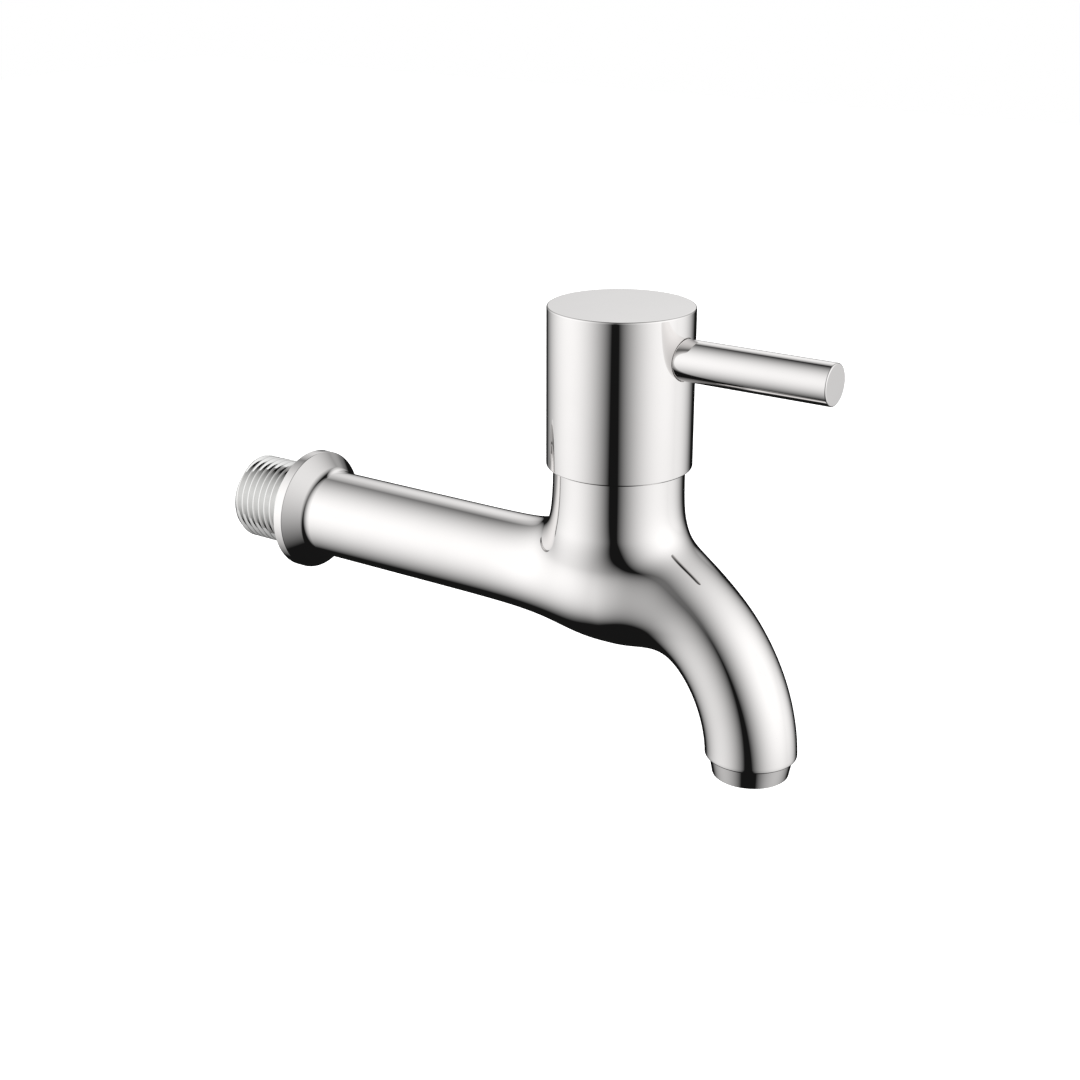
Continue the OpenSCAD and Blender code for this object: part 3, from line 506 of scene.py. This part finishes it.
# Vulcanised fibre, pressed sheet: red-brown, matt, with fine felted fibres about 2 mm long, 0.4 mm wide.
fibre, tree, place = new_material("vulcanised_fibre_sheet")
felt = add_node(tree, "ShaderNodeMapping", Vector=place,
                Scale=(1 / (2 * MM), 1 / (0.4 * MM), 1 / (0.4 * MM)))
felt = add_node(tree, "ShaderNodeTexNoise", Vector=felt.outputs[0], Scale=1.0, Detail=5.0)
tint = add_node(tree, "ShaderNodeMix", {"data_type": "RGBA"}, i0=felt.outputs["Fac"],
                i6=linear("#7C4023"), i7=linear("#A2623C"))
dull = add_node(tree, "ShaderNodeMapRange", Value=felt.outputs["Fac"], To_Min=0.6, To_Max=0.8)
swell = add_node(tree, "ShaderNodeBump", Height=felt.outputs["Fac"], Strength=0.3, Distance=0.03 * MM)
shader = add_node(tree, "ShaderNodeBsdfPrincipled", Base_Color=tint.outputs[2],
                  Roughness=dull.outputs["Result"], Normal=swell.outputs["Normal"])
add_node(tree, "ShaderNodeOutputMaterial", Surface=shader.outputs[0])
give_finish(fibre, "head_gasket")

# Stainless steel, stamped or turned: cool grey, brushed in short strokes about 4 mm long and 0.15 mm wide.
steel, tree, place = new_material("brushed_stainless_steel")
strokes = add_node(tree, "ShaderNodeMapping", Vector=place,
                   Scale=(1 / (4 * MM), 1 / (0.15 * MM), 1 / (0.15 * MM)))
strokes = add_node(tree, "ShaderNodeTexNoise", Vector=strokes.outputs[0], Scale=1.0, Detail=3.0)
tint = add_node(tree, "ShaderNodeMix", {"data_type": "RGBA"}, i0=strokes.outputs["Fac"],
                i6=linear("#B3B6B9"), i7=linear("#C9CCCE"))
dull = add_node(tree, "ShaderNodeMapRange", Value=strokes.outputs["Fac"], To_Min=0.22, To_Max=0.38)
swell = add_node(tree, "ShaderNodeBump", Height=strokes.outputs["Fac"], Strength=0.15, Distance=0.01 * MM)
shader = add_node(tree, "ShaderNodeBsdfPrincipled", Base_Color=tint.outputs[2], Metallic=1.0,
                  Roughness=dull.outputs["Result"], Normal=swell.outputs["Normal"])
add_node(tree, "ShaderNodeOutputMaterial", Surface=shader.outputs[0])
give_finish(steel, "circlip")

# Handle cap: the plain drum over the cartridge's head, turned from brass, polished and chrome plated.
# It is pressed on a splined brass insert that drives the spindle, and its skirt hangs over the chamber's
# rim with a hair of air between them.
CAP_R, CAP_BORE_R, CAP_BOTTOM, CAP_ROOF, CAP_TOP = 16.0, 14.7, 28.2, 60.6, 63.6
HUB_R, HUB_BORE_R, HUB_BOTTOM, HUB_BORE_TOP = 9.5, 6.5, 44.92, 57.5
LEVER_R, LEVER_Z = 4.5, 54.0
CAP_ROUND = 256
SEAT_WIDE, SEAT_TALL, SEAT_ROW = 32, 24, 0.5  # faces that make way for the lever's seat, and their height
SEAT_FLOOR, SEAT_BACK = 14.85, 14.0  # from the valve's axis; the seat's whole edge lies before its back
LAID_WITHIN, TRUE_WITHIN = 0.2, 0.005  # mm from the drum's side, for points to lay on it and points on it
# the seat's broken edge as (distance past the lever, depth)
SEAT_EDGE = [(0.24, 0), (0.19, 0.01), (0.15, 0.03), (0.12, 0.07), (0.1, 0.13)]
cap = turn_piece("handle_cap_drum", "Z", (VALVE_X, 0, 0), [
    (HUB_BORE_TOP, HUB_BORE_R), (HUB_BOTTOM, HUB_BORE_R), (HUB_BOTTOM, HUB_R), (CAP_ROOF, HUB_R),
    (CAP_ROOF, CAP_BORE_R), (CAP_BOTTOM, CAP_BORE_R), (CAP_BOTTOM, CAP_R)]
    + [(LEVER_Z + SEAT_ROW * row, CAP_R) for row in range(-SEAT_TALL // 2, SEAT_TALL // 2 + 1)]
    + [(CAP_TOP, CAP_R)], segments=CAP_ROUND)
cap_ends(cap)
break_edges(cap, radius=0.4, segments=5)
bpy.ops.object.duplicate()
whole_drum = bpy.context.active_object

# the lever's seat: a shallow counterbore in the drum's side with its edge just broken
seat_half = SEAT_TALL * SEAT_ROW / 2
seat_centre = ((VALVE_X + CAP_R) * MM, 0, LEVER_Z * MM)
bpy.ops.object.select_all(action="DESELECT")
bpy.context.view_layer.objects.active = cap
bpy.ops.object.mode_set(mode="EDIT")
select_where(cap, "faces", lambda middle, face: abs(middle[2] - LEVER_Z) < seat_half
             and abs(math.atan2(middle[1], middle[0] - VALVE_X)) < math.pi * SEAT_WIDE / CAP_ROUND
             and math.hypot(middle[0] - VALVE_X, middle[1]) > CAP_R - 2 * NEAR)
bpy.ops.mesh.delete(type="FACE")
bpy.ops.mesh.select_all(action="DESELECT")
bpy.ops.mesh.primitive_circle_add(vertices=2 * (SEAT_TALL + SEAT_WIDE),
                                  radius=(LEVER_R + SEAT_EDGE[0][0]) * MM,
                                  location=seat_centre, rotation=(0, math.pi / 2, 0))
select_open(cap)
bpy.ops.mesh.bridge_edge_loops(number_cuts=5)
select_open(cap)
for (last, _), (past, _) in zip(SEAT_EDGE, SEAT_EDGE[1:]):
    bpy.ops.mesh.extrude_region_move()
    bpy.ops.transform.resize(value=[1] + [(LEVER_R + past) / (LEVER_R + last)] * 2,
                             center_override=seat_centre)
shape = bmesh.from_edit_mesh(cap.data)
for spot in shape.verts:  # all of it is laid on the drum's round side, or its own depth below
    x, y, z = spot.co.x / MM - VALVE_X, spot.co.y / MM, spot.co.z / MM - LEVER_Z
    if x > SEAT_BACK and abs(z) < seat_half + NEAR and math.hypot(x, y) > CAP_R - LAID_WITHIN:
        depth = np.interp(math.hypot(y, z) - LEVER_R, *zip(*SEAT_EDGE[::-1]))
        spot.co.x = (VALVE_X + math.sqrt(CAP_R ** 2 - y ** 2) - depth) * MM
bmesh.update_edit_mesh(cap.data)
bpy.ops.mesh.extrude_region_move()
bpy.ops.transform.resize(value=(0, 1, 1), center_override=((VALVE_X + SEAT_FLOOR) * MM, 0, LEVER_Z * MM))
bpy.ops.mesh.edge_face_add()
leave_edit(smooth_below=40)
apply_modifier(cap, "WEIGHTED_NORMAL", keep_sharp=True)

# the side round the seat takes the whole drum's shading, so that its mirror stays true
side = cap.vertex_groups.new(name="side_round_seat")
side.add([spot.index for spot in cap.data.vertices
          if math.hypot(spot.co.x / MM - VALVE_X, spot.co.y / MM) > CAP_R - TRUE_WITHIN
          and abs(spot.co.z / MM - LEVER_Z) < seat_half + NEAR], 1, "REPLACE")
apply_modifier(cap, "DATA_TRANSFER", object=whole_drum, use_loop_data=True,
               data_types_loops={"CUSTOM_NORMAL"}, loop_mapping="POLYINTERP_NEAREST",
               vertex_group="side_round_seat")
bpy.data.objects.remove(whole_drum)
cap.data.materials.append(chrome)
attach(cap, "handle")
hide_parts("handle_cap")
give_finish(brass, "spline_insert")
give_finish(steel, "grub_screw")

# Lever: a plain round brass pin, turned, polished and chrome plated.
# Its threaded spigot screws into the boss behind the cap's side until the pin seats in the counterbore.
SPIGOT_R, SPIGOT_START, PIN_START, PIN_END = 3.0, 9.4, 13.5, 50.4  # places are from the valve's axis
lever = turn_piece("pin_lever", "X", (VALVE_X, 0, LEVER_Z), [
    (SPIGOT_START, SPIGOT_R), (PIN_START, SPIGOT_R), (PIN_START, LEVER_R), (PIN_END, LEVER_R)],
    segments=128)
cap_ends(lever)
break_edges(lever, radius=0.3, segments=4)
lever.data.materials.append(chrome)
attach(lever, "handle")
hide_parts("lever_rod")

# Aerator: a small chrome shell screwed into the spout's end, which holds steel screens and acetal inserts.
# The shell is turned, tapers a little to its mouth and has a rolled-in lip that keeps the screens in.
SHELL_TOP, LIP_TOP, MOUTH_Z = -26.3, -35.92, -36.7
SHELL_BORE_R, SHELL_THREAD_R, COLLAR_R, MOUTH_R, LIP_R = 7.15, 8.2, 9.3, 8.45, 6.35
aerator = turn_piece("aerator_ring", "Z", (SPOUT_X, 0, 0), [
    (SHELL_TOP, SHELL_BORE_R), (SHELL_TOP, SHELL_THREAD_R), (SPOUT_END_Z, SHELL_THREAD_R),
    (SPOUT_END_Z, COLLAR_R), (MOUTH_Z, MOUTH_R), (MOUTH_Z, LIP_R), (LIP_TOP, LIP_R),
    (LIP_TOP, SHELL_BORE_R)], segments=128)
close_ends(aerator)
break_edges(aerator, radius=0.12)
aerator.data.materials.append(chrome)
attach(aerator, "tap")
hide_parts("aerator_shell")
give_finish(rubber, "aerator_gasket")
give_finish(acetal, "aerator_diffuser", "aerator_mixer")
give_finish(steel, "aerator_filter", "aerator_outlet_screens")

# Studio: a white sweep with two long soft boxes at the sides, a glow on the sweep behind and a pale card
# low beside it. What the polished metal mirrors is those four in a dark room, as in the photograph; the
# camera sees only white round the tap.
FLOOR_Z, FLOOR_SIZE = -0.3, 6  # metres
bpy.ops.object.select_all(action="DESELECT")
bpy.ops.mesh.primitive_grid_add(x_subdivisions=4, y_subdivisions=4, size=FLOOR_SIZE,
                                location=(0, 0, FLOOR_Z))
floor = bpy.context.active_object
floor.name = "studio_floor"
floor.visible_glossy = False

# White painted board: matt, very slightly warm, with a faint mottle of 50 mm; the camera sees it lit up to
# white, less the tap's shadow.
paint, tree, place = new_material("matt_white_paint")
mottle = add_node(tree, "ShaderNodeTexNoise", Vector=place, Scale=1 / (50 * MM), Detail=2.0)
tint = add_node(tree, "ShaderNodeMix", {"data_type": "RGBA"}, i0=mottle.outputs["Fac"],
                i6=linear("#F4F4F3"), i7=linear("#F8F8F8"))
board = add_node(tree, "ShaderNodeBsdfDiffuse", Color=tint.outputs[2])
seen = add_node(tree, "ShaderNodeLightPath")
lit = add_node(tree, "ShaderNodeEmission", Color=linear("#FFFFFF"), Strength=seen.outputs["Is Camera Ray"])
both = add_node(tree, "ShaderNodeAddShader", i0=board.outputs[0], i1=lit.outputs[0])
add_node(tree, "ShaderNodeOutputMaterial", Surface=both.outputs[0])
floor.data.materials.append(paint)

# each light as (bearing, height, strength, cosine of the angle at which it fades out), angles in degrees
LIGHTS = ((-143.5, 10.5, 1.42, 0.26),  # soft box on the wall's side
          (14.5, 12.0, 1.265, 0.175),  # soft box on the spout's side
          (117.0, 26.6, 6.05, 0.862),  # glow on the sweep
          (58.0, -15.0, 1.6, 0.93))  # pale card
DARK_ROOM = 0.0075
METAL = 0.78  # the share of light that the chrome gives back
world = bpy.data.worlds.new("studio_world")
bpy.context.scene.world = world
world.use_nodes = True
tree = world.node_tree
tree.nodes.clear()
ray = add_node(tree, "ShaderNodeTexCoord").outputs["Generated"]
glow = DARK_ROOM
for bearing, height, strength, edge in LIGHTS:
    bearing, height = math.radians(bearing), math.radians(height)
    towards = (math.cos(height) * math.cos(bearing), math.cos(height) * math.sin(bearing), math.sin(height))
    facing = add_node(tree, "ShaderNodeVectorMath", {"operation": "DOT_PRODUCT"}, i0=ray, i1=towards)
    inside = add_node(tree, "ShaderNodeMath", {"operation": "SUBTRACT"}, i0=facing.outputs["Value"],
                      i1=edge)
    inside = add_node(tree, "ShaderNodeMath", {"operation": "MAXIMUM"}, i0=inside.outputs[0], i1=0.0)
    glow = add_node(tree, "ShaderNodeMath", {"operation": "MULTIPLY_ADD"}, i0=inside.outputs[0],
                    i1=strength, i2=glow).outputs[0]
glow = add_node(tree, "ShaderNodeMath", {"operation": "MINIMUM"}, i0=glow, i1=1.0)
glow = add_node(tree, "ShaderNodeMath", {"operation": "DIVIDE"}, i0=glow.outputs[0], i1=METAL)
lights = add_node(tree, "ShaderNodeBackground", Color=linear("#FFFFFF"), Strength=glow.outputs[0])
white = add_node(tree, "ShaderNodeBackground", Color=linear("#FFFFFF"), Strength=1.0)
seen = add_node(tree, "ShaderNodeLightPath")
both = add_node(tree, "ShaderNodeMixShader", i0=seen.outputs["Is Camera Ray"], i1=lights.outputs[0],
                i2=white.outputs[0])
add_node(tree, "ShaderNodeOutputWorld", Surface=both.outputs[0])
bpy.context.scene.view_settings.view_transform = "Standard"

# Camera: stands to the right of the tap, 20 degrees above it, 0.4 m from the valve.
# Its place, turn and lens are those that lay the tap's edges on the photograph's.
view = bpy.data.cameras.new("photo_camera")
view.sensor_width = 36.0
view.lens = 60.30
camera = bpy.data.objects.new("photo_camera", view)
camera.location = (0.288805, -0.320438, 0.151657)
camera.rotation_euler = (math.radians(69.44), 0, math.radians(34.45))
bpy.context.scene.collection.objects.link(camera)
bpy.context.scene.camera = camera
